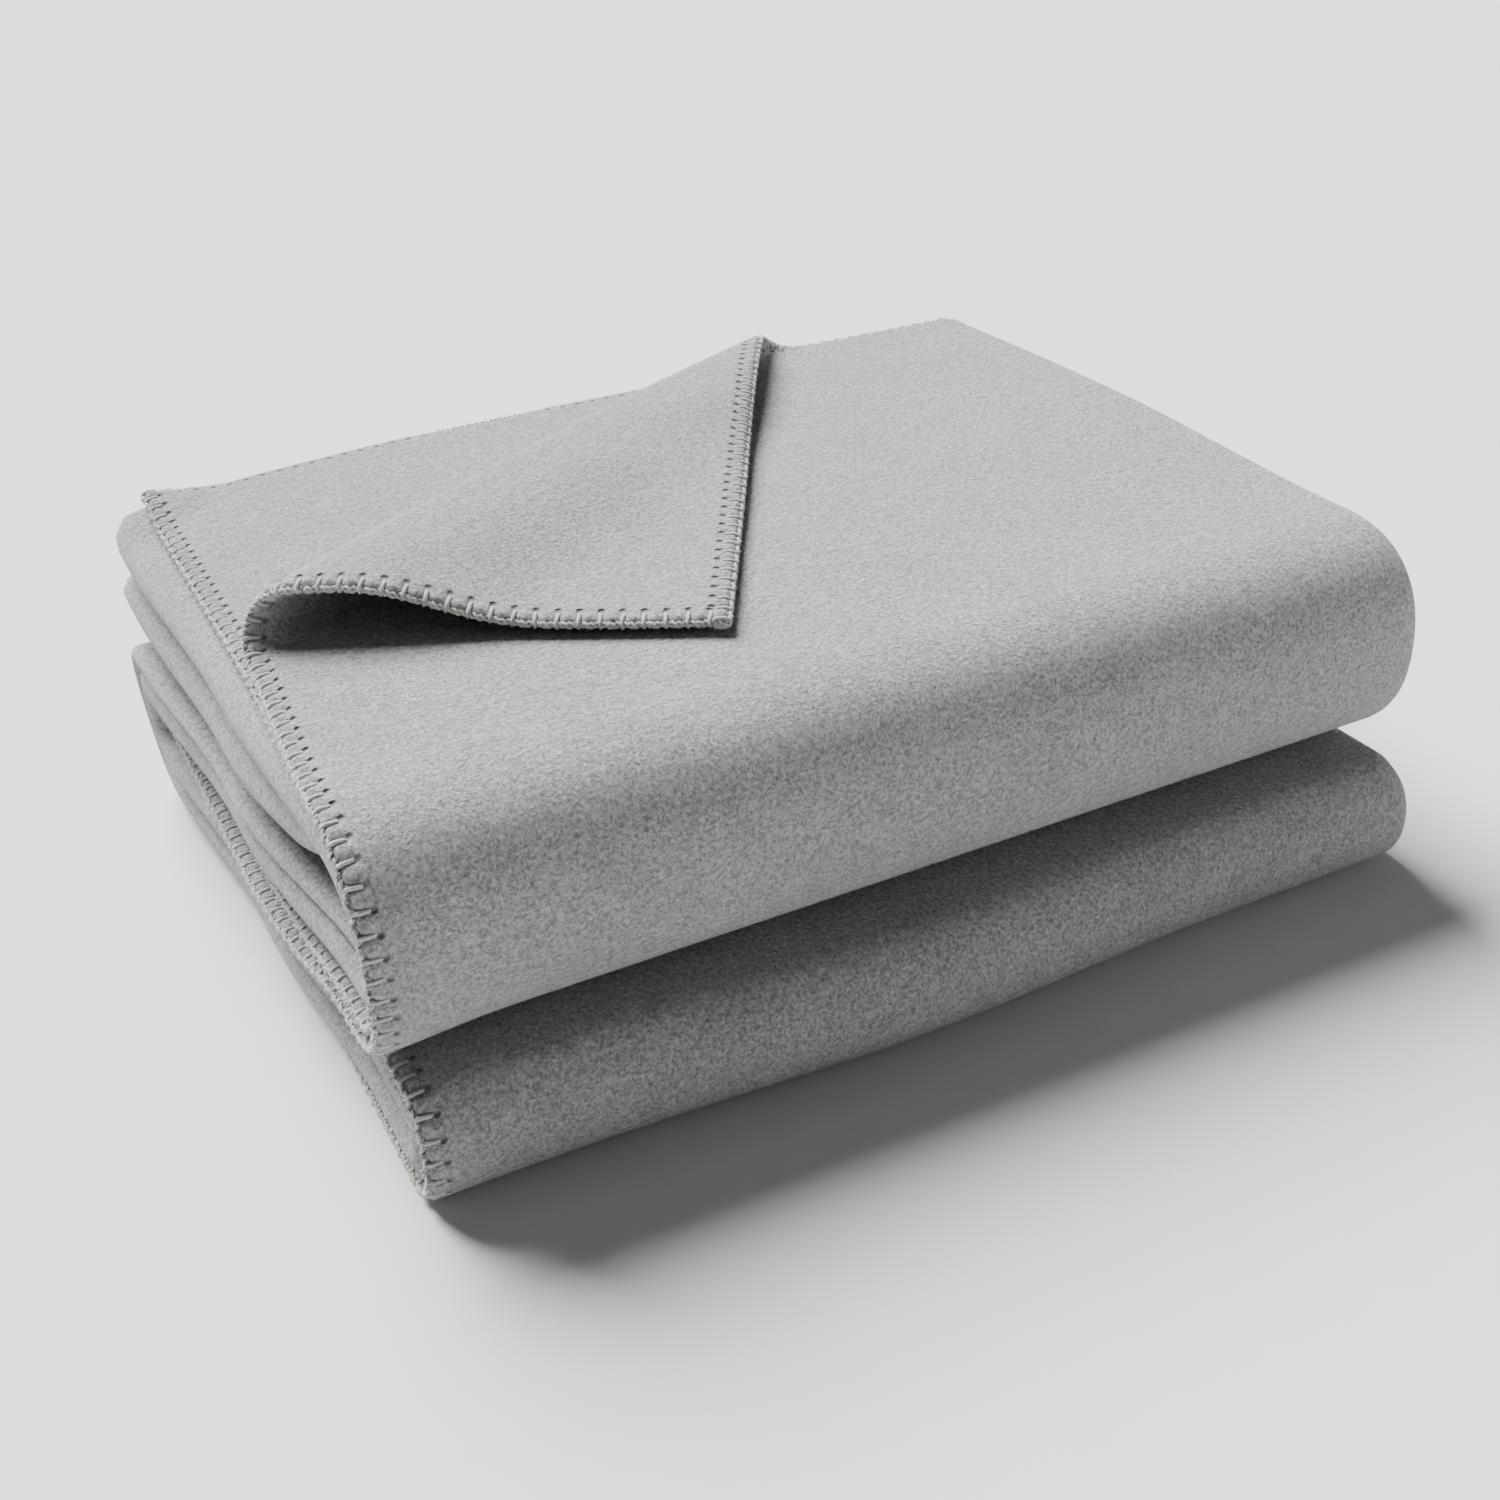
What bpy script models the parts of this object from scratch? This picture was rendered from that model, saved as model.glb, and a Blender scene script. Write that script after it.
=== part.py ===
"""Folded throw blanket: one napped fleece panel, edged all round with blanket-stitch yarn.

The panel is folded in four across, doubled lengthwise, then folded in thirds. That makes six
flat runs of four plies each, joined by rounded folds at the front and back. One corner of the
top ply is turned over. Metres, +X along the folded width, +Y to the back, +Z up.
"""

import math

import bmesh
import bpy
from mathutils import Vector

WIDTH = 0.375  # over the side folds
DEPTH = 0.326  # over the front and back folds
PLY = 0.0047  # thickness of the fleece
PLY_GAP = 0.0004  # between plies of one run
RUN_GAP = 0.0006  # between runs
EDGE_INSET = 0.010  # stitched edges behind the left side folds
END_INSET = 0.012  # ends of the top runs behind the back fold
UPPER_SETBACK = 0.015  # upper front fold behind the lower one
FLAT_TALL = 0.60  # depth of a tall fold over its radius
FLAT_LOW = 0.70  # depth of the low front fold over its radius
CORNER_LEFT = 0.140  # turned corner, measured along the left edge
CORNER_BACK = 0.266  # turned corner, measured along the back edge
ROLL_LEFT = 0.0125  # mean radius of the turned corner's roll at the left edge
ROLL_BACK = 0.0060  # the same at the back edge
YARN = 0.0012  # radius of the edging
LEAD = 0.0005  # straight stretch where the edging enters a fold
CORNER_CUT = 0.85  # how far the edging reaches into a corner
FIT = 0.0003  # clearance between neighbouring pieces
FLEECE = (0.42, 0.42, 0.415)
THREAD = (0.48, 0.50, 0.465)

PITCH = PLY + PLY_GAP
RUN = 3 * PITCH + PLY
STEP = RUN + RUN_GAP
X_EDGE = -WIDTH / 2 + EDGE_INSET
X_LEFT = -WIDTH / 2 + PITCH / 2 + PLY / 2
X_RIGHT = WIDTH / 2 - 1.5 * PITCH - PLY / 2
Z_LOWER = STEP - RUN_GAP / 2
Z_BACK = 2 * STEP - RUN_GAP / 2
Z_UPPER = 4 * STEP - RUN_GAP / 2
Y_LOWER = -DEPTH / 2 + FLAT_LOW * Z_LOWER
Y_UPPER = -DEPTH / 2 + UPPER_SETBACK + FLAT_TALL * Z_BACK
Y_BACK = DEPTH / 2 - FLAT_TALL * Z_BACK
Y_END = DEPTH / 2 - END_INSET
CLEAR = FIT + YARN
X_YARN = X_EDGE - CLEAR
FIRST = 1.5 * PITCH  # height of the first ply in a run
SECOND = 0.5 * PITCH  # height of the second ply in a run

for thing in list(bpy.data.objects):
    bpy.data.objects.remove(thing, do_unlink=True)

parts = bpy.data.collections.new("folded_throw_blanket")
cutters = bpy.data.collections.new("cutters")
bpy.context.scene.collection.children.link(parts)
bpy.context.scene.collection.children.link(cutters)


def material(name, colour, roughness):
    made = bpy.data.materials.new(name)
    made.use_nodes = True
    shader = made.node_tree.nodes["Principled BSDF"]
    shader.inputs["Base Color"].default_value = (*colour, 1.0)
    shader.inputs["Roughness"].default_value = roughness
    shader.inputs["Metallic"].default_value = 0.0
    return made


def keep(name, bm, colour=FLEECE, roughness=0.95):
    """Turn a bmesh into a named part with a material of its own."""
    bmesh.ops.recalc_face_normals(bm, faces=bm.faces[:])
    mesh = bpy.data.meshes.new(name)
    bm.to_mesh(mesh)
    bm.free()
    mesh.materials.append(material(name + "_cloth", colour, roughness))
    made = bpy.data.objects.new(name, mesh)
    parts.objects.link(made)
    return made


def centre_of(run):
    """Height of the middle of a run, counted from the floor."""
    return RUN / 2 + run * STEP


def arc(cx, cz, radius, start, end, steps, sign=1):
    """Points and face directions round an arc, with angles in half turns."""
    rows = []
    for i in range(steps + 1):
        angle = math.pi * (start + (end - start) * i / steps)
        way = (math.cos(angle), math.sin(angle))
        point = (cx + radius * way[0], cz + radius * way[1])
        rows.append((point, (sign * way[0], sign * way[1])))
    return rows


def middle_line():
    """Middle of the cloth across a run: first ply, right fold, left fold, second ply."""
    outer = 1.5 * PITCH
    inner = 0.5 * PITCH
    line = [((X_EDGE, outer), (0, 1))]
    line += arc(X_RIGHT, 0, outer, 0.5, -0.5, 10)
    line += arc(X_LEFT, -PITCH, inner, -0.5, -1.5, 6)
    line += arc(X_RIGHT, 0, inner, -0.5, 0.5, 6, sign=-1)
    line += [((X_EDGE, inner), (0, -1))]
    return line


def turned(z, run):
    """Height of a point across a run; the stitched edges face up on odd runs."""
    return centre_of(run) + (z if run % 2 else -z)


def section(bm, run, y):
    """One closed face with the outline of the folded cloth across a run."""
    half = PLY / 2
    line = middle_line()
    near = [(p[0] + w[0] * half, p[1] + w[1] * half) for p, w in line]
    far = [(p[0] - w[0] * half, p[1] - w[1] * half) for p, w in line]
    ring = [bm.verts.new((x, y, turned(z, run))) for x, z in near + far[::-1]]
    return bm.faces.new(ring)


def straight_run(name, run, front, back):
    """Four plies lying flat from front to back."""
    bm = bmesh.new()
    face = section(bm, run, front)
    pulled = bmesh.ops.extrude_face_region(bm, geom=[face], use_keep_orig=True)
    verts = [g for g in pulled["geom"] if isinstance(g, bmesh.types.BMVert)]
    bmesh.ops.translate(bm, verts=verts, vec=(0, back - front, 0))
    return keep(name, bm)


def fold(name, run, y, z, flatness, side, steps):
    """Four plies carried half a turn round a line along X; side is -1 at the front."""
    bm = bmesh.new()
    face = section(bm, run, y)
    geom = [face] + list(face.edges) + list(face.verts)
    bmesh.ops.spin(
        bm, geom=geom, cent=(0, y, z), axis=(1, 0, 0), angle=-side * math.pi, steps=steps
    )
    open_edges = [e for e in bm.edges if e.is_boundary]
    bmesh.ops.edgeloop_fill(bm, edges=open_edges)
    for v in bm.verts:
        v.co.y = y + flatness * (v.co.y - y)
    return keep(name, bm)


def yarn(name, points):
    """A length of the edging along a line of points."""
    curve = bpy.data.curves.new(name, "CURVE")
    curve.dimensions = "3D"
    spline = curve.splines.new("POLY")
    spline.points.add(len(points) - 1)
    for knot, point in zip(spline.points, points):
        knot.co = (*point, 1.0)
    curve.bevel_depth = YARN
    curve.bevel_resolution = 1
    curve.use_fill_caps = True
    curve.materials.append(material(name + "_yarn", THREAD, 0.85))
    made = bpy.data.objects.new(name, curve)
    parts.objects.link(made)
    return made


def fold_line(run, z_in_run, y, z, flatness, side):
    """Points of the edging round a fold, on the left, starting at the given run."""
    radius = turned(z_in_run, run) - z
    tight = abs(radius) < 4 * YARN
    depth = abs(radius) * flatness - (0 if tight else LEAD)
    steps = 3 if tight else 10
    rows = [(X_YARN, y, z + radius)]
    for i in range(steps + 1):
        angle = math.pi * i / steps
        out = LEAD + depth * math.sin(angle)
        rows.append((X_YARN, y + side * out, z + radius * math.cos(angle)))
    return rows + [(X_YARN, y, z - radius)]


def across(run, start, end):
    """Points of the edging over the end of a run, between two points of its middle line."""
    line = middle_line()[start:end]
    return [(p[0], Y_END + CLEAR, turned(p[1], run)) for p, w in line]


def square_corner(z):
    """Points of the edging where a left edge meets the end, from the left edge on."""
    near = CORNER_CUT * CLEAR
    return [(X_YARN, Y_END, z), (X_EDGE - near, Y_END + near, z), (X_EDGE, Y_END + CLEAR, z)]


def hinge(name, spot, line, names):
    """An empty with its X axis on a hinge line, and the moving pieces hung from it."""
    empty = bpy.data.objects.new(name, None)
    parts.objects.link(empty)
    empty.location = spot
    empty.rotation_euler = line.to_track_quat("X", "Z").to_euler()
    bpy.context.view_layer.update()
    for piece in names:
        moved = bpy.data.objects[piece]
        moved.parent = empty
        moved.matrix_parent_inverse = empty.matrix_world.inverted()
    return empty


# Runs, counted from the top.
top_run = straight_run("top_run", 5, Y_UPPER + FIT, Y_END)
straight_run("second_run", 4, Y_UPPER + FIT, Y_END)
straight_run("third_run", 3, Y_UPPER + FIT, Y_BACK - FIT)
straight_run("fourth_run", 2, Y_UPPER + FIT, Y_BACK - FIT)
straight_run("fifth_run", 1, Y_LOWER + FIT, Y_BACK - FIT)
straight_run("sixth_run", 0, Y_LOWER + FIT, Y_BACK - FIT)

# Folds that join the runs.
fold("upper_front_fold_outer", 5, Y_UPPER, Z_UPPER, FLAT_TALL, -1, 14)
fold("upper_front_fold_inner", 4, Y_UPPER, Z_UPPER, FLAT_TALL, -1, 8)
fold("back_fold_inner", 2, Y_BACK, Z_BACK, FLAT_TALL, 1, 8)
fold("back_fold_outer", 3, Y_BACK, Z_BACK, FLAT_TALL, 1, 14)
fold("lower_front_fold", 1, Y_LOWER, Z_LOWER, FLAT_LOW, -1, 10)

# Turned corner. The crease frame has its origin at the corner, s along and n across the crease.
crease = math.hypot(CORNER_LEFT, CORNER_BACK)
depth = CORNER_LEFT * CORNER_BACK / crease
along = Vector((CORNER_BACK, CORNER_LEFT, 0)) / crease
over = Vector((CORNER_LEFT, -CORNER_BACK, 0)) / crease
left_rate = CORNER_LEFT / CORNER_BACK
back_rate = CORNER_BACK / CORNER_LEFT
z_ply = turned(FIRST, 5)
taper = (ROLL_BACK - ROLL_LEFT) / crease
roll_here = ROLL_LEFT + taper * left_rate * depth


def roll_at(s):
    """Mean radius of the roll, which tapers towards the back."""
    return roll_here + taper * s


droop = 0.1
for _ in range(30):
    swept = roll_here * (math.pi + droop)
    side_step = roll_here * math.sin(droop)
    tangent = depth - side_step - (depth - swept) * math.cos(droop)
    tangent /= 1 + math.cos(droop)
    fall = roll_here * (1 + math.cos(droop)) - PLY - FIT
    droop = math.asin(fall / (depth + tangent - swept))
q_leaf = depth + tangent
sweep = math.pi + droop
roll_axis = Vector((X_EDGE, Y_END, z_ply + roll_here)) + over * q_leaf


def corner_point(s, q, lift=0.0):
    """A point of the turned corner, q from the corner's tip across the crease."""
    radius = roll_at(s)
    angle = min((q_leaf - q) / radius, sweep)
    way = q_leaf - q - angle * radius
    n = -(radius + lift) * math.sin(angle) - way * math.cos(angle)
    z = -(radius + lift) * math.cos(angle) + way * math.sin(angle)
    return roll_axis + along * s + over * n + Vector((0, 0, z + taper * s))


def edge_spot(rate, share):
    """Where an edge of the corner has gone the given share of the way round the roll."""
    turned_here = roll_here * sweep * share
    s = rate * (q_leaf - turned_here) / (1 + rate * taper * sweep * share)
    return s, s / rate


def corner_solid(name, rows):
    """Cloth of the turned corner through rows of its left and right ends."""
    bm = bmesh.new()
    rings = []
    for left, right in rows:
        ends = [(left, PLY / 2), (right, PLY / 2), (right, -PLY / 2), (left, -PLY / 2)]
        rings.append([bm.verts.new(corner_point(*end, lift)) for end, lift in ends])
    for low, high in zip(rings, rings[1:]):
        for i in range(4):
            j = (i + 1) % 4
            bm.faces.new((low[i], low[j], high[j], high[i]))
    bm.faces.new(rings[0][::-1])
    bm.faces.new(rings[-1])
    return keep(name, bm)


def corner_edge(rate, start, end, steps):
    """Points of the edging beside one edge of the turned corner; rate is negative on the left."""
    size = math.hypot(1, rate)
    rows = []
    for i in range(steps + 1):
        q = start + (end - start) * i / steps
        s = rate * q + math.copysign(CLEAR / size, rate)
        rows.append(tuple(corner_point(s, q - CLEAR * abs(rate) / size)))
    return rows


count = 14
trim = FIT / (math.pi * ROLL_BACK)
shares = [trim + (1 - 2 * trim) * i / count for i in range(count + 1)]
rows = [(edge_spot(-left_rate, share), edge_spot(back_rate, share)) for share in shares]
corner_solid("corner_roll", rows)
start = (edge_spot(-left_rate, 1 + trim), edge_spot(back_rate, 1 + trim))
point = ((-left_rate * FIT, FIT), (back_rate * FIT, FIT))
corner_solid("turned_corner", [start, point])

shape = bpy.data.meshes.new("corner_cutter")
box = bmesh.new()
bmesh.ops.create_cube(box, size=1.0)
box.to_mesh(shape)
box.free()
cutter = bpy.data.objects.new("corner_cutter", shape)
cutters.objects.link(cutter)
cutter.hide_render = True
cutter.display_type = "WIRE"
reach = 0.3
cutter.scale = (4 * reach, reach, 0.04)
cutter.rotation_euler = (0, 0, math.atan2(along.y, along.x))
spot = Vector((X_EDGE, Y_END, 0)) + over * (q_leaf + FIT - reach / 2)
cutter.location = (spot.x, spot.y, turned(PITCH, 5) + 0.02)
cut = top_run.modifiers.new("corner", "BOOLEAN")
cut.operation = "DIFFERENCE"
cut.solver = "EXACT"
cut.object = cutter

# Edging yarn: along the left edges, round the folds and over the ends.
y_leaf = Y_END - CORNER_LEFT * q_leaf / depth
x_leaf = X_EDGE + CORNER_BACK * q_leaf / depth
front = Y_UPPER + FIT
z_first = turned(FIRST, 5)
z_second = turned(SECOND, 5)

yarn("edging_top_left", [(X_YARN, front, z_first), (X_YARN, y_leaf - 4 * FIT, z_first)])

line = [(X_YARN, front, z_second)] + square_corner(z_second)
line += across(5, 1, 26)[::-1]
line += [(x_leaf + 5 * FIT / over.x, Y_END + CLEAR, z_first)]
yarn("edging_upper_end", line)

z_low = turned(FIRST, 4)
z_high = turned(SECOND, 4)
line = [(X_YARN, front, z_low)] + square_corner(z_low)
line += across(4, 1, 26)
line += square_corner(z_high)[::-1] + [(X_YARN, front, z_high)]
yarn("edging_lower_end", line)

for number, (run, height) in enumerate(((5, FIRST), (5, SECOND), (4, SECOND), (4, FIRST)), 1):
    line = fold_line(run, height, Y_UPPER, Z_UPPER, FLAT_TALL, -1)
    yarn("edging_front_fold_%d" % number, line)

for name, height in (("edging_outer", FIRST), ("edging_inner", SECOND)):
    line = [(X_YARN, front, turned(height, 2))]
    line += fold_line(2, height, Y_BACK, Z_BACK, FLAT_TALL, 1)
    line += fold_line(1, height, Y_LOWER, Z_LOWER, FLAT_LOW, -1)
    line += fold_line(0, height, Y_BACK, Z_BACK, FLAT_TALL, 1)
    line += [(X_YARN, front, turned(height, 3))]
    yarn(name, line)

left_turn = edge_spot(-left_rate, 1)[1]
back_turn = edge_spot(back_rate, 1)[1]
yarn("edging_roll_left", corner_edge(-left_rate, q_leaf - 4 * FIT, left_turn + 4 * FIT, 12))
yarn("edging_roll_back", corner_edge(back_rate, q_leaf - 8 * FIT, back_turn + 8 * FIT, 12))
line = corner_edge(-left_rate, left_turn - 4 * FIT, 0, 1)
tip_s = CORNER_CUT * CLEAR * (along.x - along.y)
tip_q = CORNER_CUT * CLEAR * (along.x + along.y)
line += [tuple(corner_point(-tip_s, -tip_q))]
line += corner_edge(back_rate, 0, back_turn - 8 * FIT, 1)
yarn("edging_corner", line)

# The top third opens at the upper front fold, and the turned corner about its roll.
top_third = ["top_run", "second_run", "corner_roll", "edging_top_left", "edging_upper_end"]
top_third += ["edging_lower_end", "edging_roll_left", "edging_roll_back"]
opening = hinge("top_third_hinge", (0, Y_UPPER, Z_UPPER), Vector((1, 0, 0)), top_third)
crease_axis = -(along + Vector((0, 0, taper))).normalized()
corner = ["turned_corner", "edging_corner"]
crease_line = hinge("corner_hinge", roll_axis, crease_axis, corner)
crease_line.parent = opening
crease_line.matrix_parent_inverse = opening.matrix_world.inverted()
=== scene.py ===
"""Folded throw blanket: the cloth as it lies, its blanket stitching, materials, light and camera.

The fleece is one panel. Each stretch of it is worked out as a grid of points in the middle of the
cloth, which then gets its thickness. Runs are counted from the floor, 0 to 5. In each run the
plies are, from the stitched edge inwards: first, second, third and fourth. First and second have
the free stitched edge on the left; third and fourth are joined there by the left side fold.
"""
import math

import bmesh
import bpy
import numpy as np
from mathutils import Matrix, Vector


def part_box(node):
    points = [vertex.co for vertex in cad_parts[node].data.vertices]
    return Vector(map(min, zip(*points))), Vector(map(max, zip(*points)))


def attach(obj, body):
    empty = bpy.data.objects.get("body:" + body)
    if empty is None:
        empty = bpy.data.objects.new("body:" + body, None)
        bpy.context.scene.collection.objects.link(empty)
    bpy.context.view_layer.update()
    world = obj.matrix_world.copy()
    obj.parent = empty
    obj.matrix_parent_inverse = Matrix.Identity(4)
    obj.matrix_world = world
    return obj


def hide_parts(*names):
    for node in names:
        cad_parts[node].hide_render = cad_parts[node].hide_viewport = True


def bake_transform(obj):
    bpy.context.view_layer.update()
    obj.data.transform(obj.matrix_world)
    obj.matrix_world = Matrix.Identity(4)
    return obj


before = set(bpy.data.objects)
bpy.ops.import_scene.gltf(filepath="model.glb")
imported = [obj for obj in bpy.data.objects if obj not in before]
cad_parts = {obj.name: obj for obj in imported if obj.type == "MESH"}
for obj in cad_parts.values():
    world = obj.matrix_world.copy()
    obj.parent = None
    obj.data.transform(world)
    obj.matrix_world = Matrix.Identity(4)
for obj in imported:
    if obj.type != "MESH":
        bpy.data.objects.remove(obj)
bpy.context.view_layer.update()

# ---------------------------------------------------------------- sizes from the frame
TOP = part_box("top_run")[1][2]
Y_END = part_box("top_run")[1][1]
Y_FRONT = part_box("upper_front_fold_outer")[0][1]
Y_FRONT_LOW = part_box("lower_front_fold")[0][1]
Y_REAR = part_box("back_fold_outer")[1][1]
X_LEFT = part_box("third_run")[0][0]
X_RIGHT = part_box("third_run")[1][0]
X_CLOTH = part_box("second_run")[0][0] + 0.010

CLOTH = 0.0047  # thickness of the fleece
GAP = 0.0004  # between plies
STEP = (TOP + GAP) / 6  # height of a run of four plies
PITCH = STEP / 4
STITCH = 0.0066  # from one stitch leg to the next
LEG = 0.0046  # how far a stitch reaches into the cloth
YARN = 0.00062  # radius of one strand of the edging yarn
ROW = STITCH / 4  # from one row of cloth points to the next

UP_TURN = 1.5 * PITCH + 0.0330  # depth of the upper front fold, to the middle of its outer ply
Y_UP = Y_FRONT + UP_TURN + CLOTH / 2
Y_LOW = Y_FRONT_LOW + 1.5 * PITCH + 0.5 * STEP + CLOTH / 2
Y_BACK = Y_REAR - 1.5 * PITCH - 1.5 * STEP - CLOTH / 2

CORNER_LEFT = 0.148  # the turned corner, along the left edge
CORNER_BACK = 0.257  # the turned corner, along the back edge
ROLL_LEFT = 0.0100  # radius of its roll at the left edge
ROLL_BACK = 0.0065  # radius of its roll at the back edge

LEAF_WIDTH = 0.355  # the top ply, from its stitched edge to the right side fold
EDGE_BAND = 0.0078  # strip along a stitched edge with closer rows of points

OUTER_BENDS = (0.0645, 0.0935)  # two heights given for the outer front fold at the hinge; unpacked in tie_to_bodies but not used
INNER_BENDS = (0.0800, 0.0842)  # the same for the inner front fold, likewise not used


# ---------------------------------------------------------------- small helpers
def smooth(t):
    t = np.clip(t, 0.0, 1.0)
    return t * t * (3 - 2 * t)


def bump(x, middle, width):
    return np.exp(-(((x - middle) / width) ** 2))


def drift(x, y, seed):
    """Slow, even waves between -1 and 1, different for each seed."""
    a = np.sin(23.0 * x + 11.0 * y + 1.7 * seed)
    b = np.sin(-14.0 * x + 27.0 * y + 2.9 * seed)
    c = np.sin(41.0 * x - 19.0 * y + 0.8 * seed)
    return (a + b + 0.6 * c) / 2.6


# ---------------------------------------------------------------- how the plies lie
# Rise of each ply at the left end, where side folds swell and spare edges stand back:
# (first, second, third, fourth), and how far in from the left end the rise begins.
SWELL = {
    5: ((-0.0018, -0.0018, -0.0022, -0.0095), 0.060),
    4: ((0.0, 0.0, -0.0190, -0.0105), 0.034),
    3: ((0.0, 0.0, -0.0030, 0.0), 0.030),
    2: ((-0.0075, -0.0073, -0.0080, 0.0030), 0.045),
    1: ((0.0, 0.0, -0.0005, -0.0030), 0.040),
    0: ((0.0, 0.0, -0.0060, -0.0025), 0.030),
}
# How far each run stands out to the left of the stitched edge's line, in the middle of the stack
# and at its front: (side fold, first edge, second edge).
REACH = {
    5: ((0.0105, 0.0, 0.0010), (0.0060, 0.0060, 0.0050)),
    4: ((0.0120, -0.0190, -0.0180), (0.0020, -0.0150, -0.0140)),
    3: ((0.0130, -0.0200, -0.0190), (0.0010, -0.0150, -0.0140)),
    2: ((0.0125, 0.0130, 0.0080), (0.0040, 0.0060, 0.0050)),
    1: ((0.0110, -0.0120, -0.0130), (0.0020, 0.0010, 0.0000)),
    0: ((0.0105, 0.0020, 0.0000), (0.0040, 0.0020, 0.0010)),
}


def reach(run, which, y):
    middle, front = REACH[run][0][which], REACH[run][1][which]
    out = middle + (front - middle) * smooth((0.0 - y) / 0.115)
    if which == 0:
        out = out + (0.005 if run > 3 else 0.008) * smooth((y - 0.01) / 0.12)
    return X_CLOTH - out


def ply_height(run, ply, x, y):
    """Height of the middle of a ply."""
    from_top = ply if run % 2 else 3 - ply
    z = STEP * run + PITCH * (3.5 - from_top)
    rise, depth = SWELL[run]
    fade = smooth((y - Y_UP) / 0.045) if run in (3, 4) else 1.0
    if run == 2:
        fade = 1 - 0.7 * smooth((-0.05 - y) / 0.05)
    z = z + fade * rise[ply] * smooth((X_LEFT + depth - x) / (depth - 0.004))
    above = np.clip((z - 2 * STEP) / (4 * STEP), 0, 1)
    z = z - 0.0035 * above * smooth((0.02 - y) / 0.13)
    z = z + 0.0012 * above * drift(x, y, 1)
    z = z + 0.0032 * above * smooth((y + 0.02) / 0.13) * bump(x, 0.0, 0.14)
    return z


EDGE = np.array([0, 0.9, 1.9, 3.0, 4.2, 5.6, 7.2, 9.2, 12, 16, 22, 30, 42]) / 355
FREE = np.concatenate([EDGE, np.linspace(60, 355, 15) / 355])
NOSE = np.array([0, 3, 6, 10, 15, 21, 28, 37, 48, 62]) / 360
JOINED = np.concatenate([NOSE, np.linspace(84, 360, 12) / 360])
HALF = np.linspace(-90, 90, 13) * math.pi / 180


def right_end(run):
    return X_RIGHT - 1.5 * PITCH - CLOTH / 2 - 0.0015 * (1 + math.sin(2.1 * run))


def section(run, y):
    """Middle line of the four plies across a run, from the first edge to the second."""
    right = right_end(run)
    line_x, line_z = [], []

    def add(x, z):
        line_x.append(x)
        line_z.append(z)

    def height(ply, x):
        return ply_height(run, ply, x, y)

    def at(ply, x):
        return height(ply, np.array([x]))[0]

    turn = HALF[1:-1]
    start = reach(run, 1, y)
    x = start + (right - start) * FREE
    add(x, height(0, x))
    first, fourth = at(0, right), at(3, right)
    add(right + abs(first - fourth) / 2 * np.cos(turn),
        (first + fourth) / 2 - (first - fourth) / 2 * np.sin(turn))
    left = reach(run, 0, y)
    third, fourth = at(2, left + 0.004), at(3, left + 0.004)
    deep = 0.5 * abs(third - fourth) + 0.0006
    tip = left + CLOTH / 2 + deep
    x = tip + (right - tip) * JOINED
    add(x[::-1], height(3, x)[::-1])
    third, fourth = at(2, tip), at(3, tip)
    add(tip - deep * np.cos(turn), (third + fourth) / 2 + (third - fourth) / 2 * np.sin(turn))
    add(x, height(2, x))
    second, third = at(1, right), at(2, right)
    turn = HALF[2:-1:2]
    add(right + abs(second - third) / 2 * np.cos(turn),
        (second + third) / 2 + (second - third) / 2 * np.sin(turn))
    start = reach(run, 2, y)
    x = start + (right - start) * FREE
    add(x[::-1], height(1, x)[::-1])
    return np.concatenate(line_x), np.concatenate(line_z)


def run_rows(run, start, end, row):
    """Rows of points along a run."""
    count = max(2, int(round(abs(end - start) / row)))
    rows = []
    for y in np.linspace(start, end, count + 1):
        x, z = section(run, y)
        rows.append(np.stack([x, np.full_like(x, y), z], axis=-1))
    return np.array(rows)


def fold_rows(run, onto, y, side, row, squareness=2.35):
    """Rows of points round a fold from one run onto another, without its first and last."""
    xa, za = section(run, y)
    xb, zb = section(onto, y)
    half = (za - zb) / 2
    count = max(10, int(round(math.pi * np.abs(half).max() / row)))
    rows = []
    for i in range(1, count):
        angle = math.pi * i / count
        up = math.copysign(abs(math.cos(angle)) ** (2 / squareness), math.cos(angle))
        out = math.sin(angle) ** (2 / squareness)
        x = xa + (xb - xa) * (1 - up) / 2
        z = (za + zb) / 2 + half * up
        rows.append(np.stack([x, y + side * np.abs(half) * out, z], axis=-1))
    return np.array(rows)


def settle(points):
    """The lower part lies a little askew under the upper, and the free corner stands up."""
    x, y, z = points[..., 0], points[..., 1], points[..., 2]
    low = 1 - smooth((z - 0.034) / 0.014)
    left = smooth((0.02 - x) / 0.18)
    near = smooth((-0.02 - y) / 0.10)
    moved = points.copy()
    right = smooth((x + 0.05) / 0.16)
    moved[..., 1] += low * near * (0.008 * left + 0.006 * right)
    moved[..., 0] -= 0.005 * low * right
    from_corner = np.hypot(x - X_CLOTH, y - Y_END)
    moved[..., 2] += 0.005 * smooth(1 - from_corner / 0.030) * smooth((z - 0.100) / 0.010)
    return moved


# ---------------------------------------------------------------- thickness and edges
def normals_of(grid):
    across = np.gradient(grid, axis=1)
    down = np.gradient(grid, axis=0)
    n = np.cross(down, across)
    return n / np.maximum(np.linalg.norm(n, axis=-1, keepdims=True), 1e-12)


def half_thickness(along, inward):
    """Half the cloth's thickness near an edge: rounded, pinched by each stitch, puffed between."""
    rounded = np.sqrt(np.clip(1 - (1 - np.clip(inward / 0.0024, 0, 1)) ** 2, 0.03, 1))
    phase = np.cos(2 * math.pi * along / STITCH)
    near = 1 - smooth((inward - 0.5 * LEG) / (0.9 * LEG))
    tight = (0.5 + 0.5 * phase) ** 2 * near
    puff = (0.5 - 0.5 * phase) * near
    return CLOTH / 2 * rounded * (1 - 0.58 * tight + 0.20 * puff)


def scalloped(along, inward):
    """How far the edge swings outwards between stitches."""
    near = 1 - smooth(inward / (1.2 * LEG))
    return 0.00055 * near * (0.5 - 0.5 * np.cos(2 * math.pi * along / STITCH))


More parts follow.
